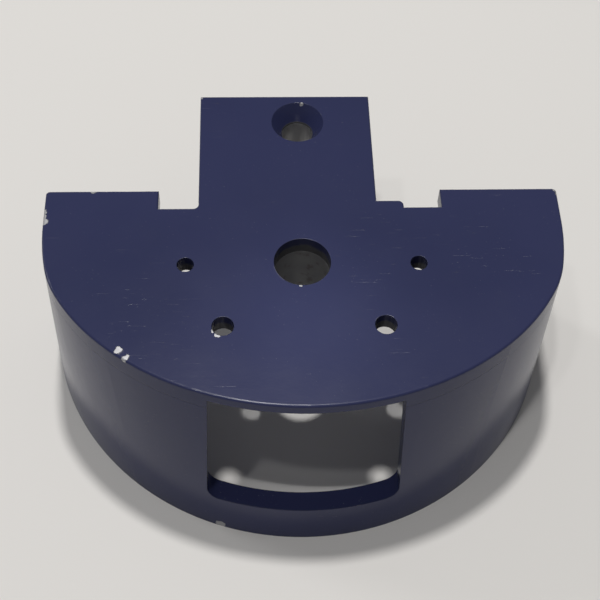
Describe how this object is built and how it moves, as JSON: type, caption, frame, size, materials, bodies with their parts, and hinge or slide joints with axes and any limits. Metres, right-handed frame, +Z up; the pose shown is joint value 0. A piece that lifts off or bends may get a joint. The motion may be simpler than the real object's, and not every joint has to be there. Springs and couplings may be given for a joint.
{
  "type": "camera mount housing",
  "caption": "Half-round camera mount of painted plate: flat deck with screw holes, centre bore and drilled back tongue, on a bent wall with a front window.",
  "frame": {"origin": "middle of the footprint, on the plane of the bottom rim", "axes": "+Z up along the centre bore, -Y the front with the window, +Y the back with the tongue, +X to the right of someone who looks at the window"},
  "size_m": [0.107, 0.0816, 0.042],
  "materials": {
    "navy_paint": "satin navy paint with small chips along the edges",
    "bare_steel": "dull bare metal, dark with age",
    "painted_weld": "navy paint over a rippled weld bead"
  },
  "bodies": {
    "root": {"deck_plate": "navy_paint", "skirt_wall": "navy_paint", "centre_hub": "bare_steel", "tongue_boss": "bare_steel", "skirt_welds": "painted_weld", "hub_weld": "painted_weld", "boss_weld": "painted_weld"}
  },
  "joints": []
}
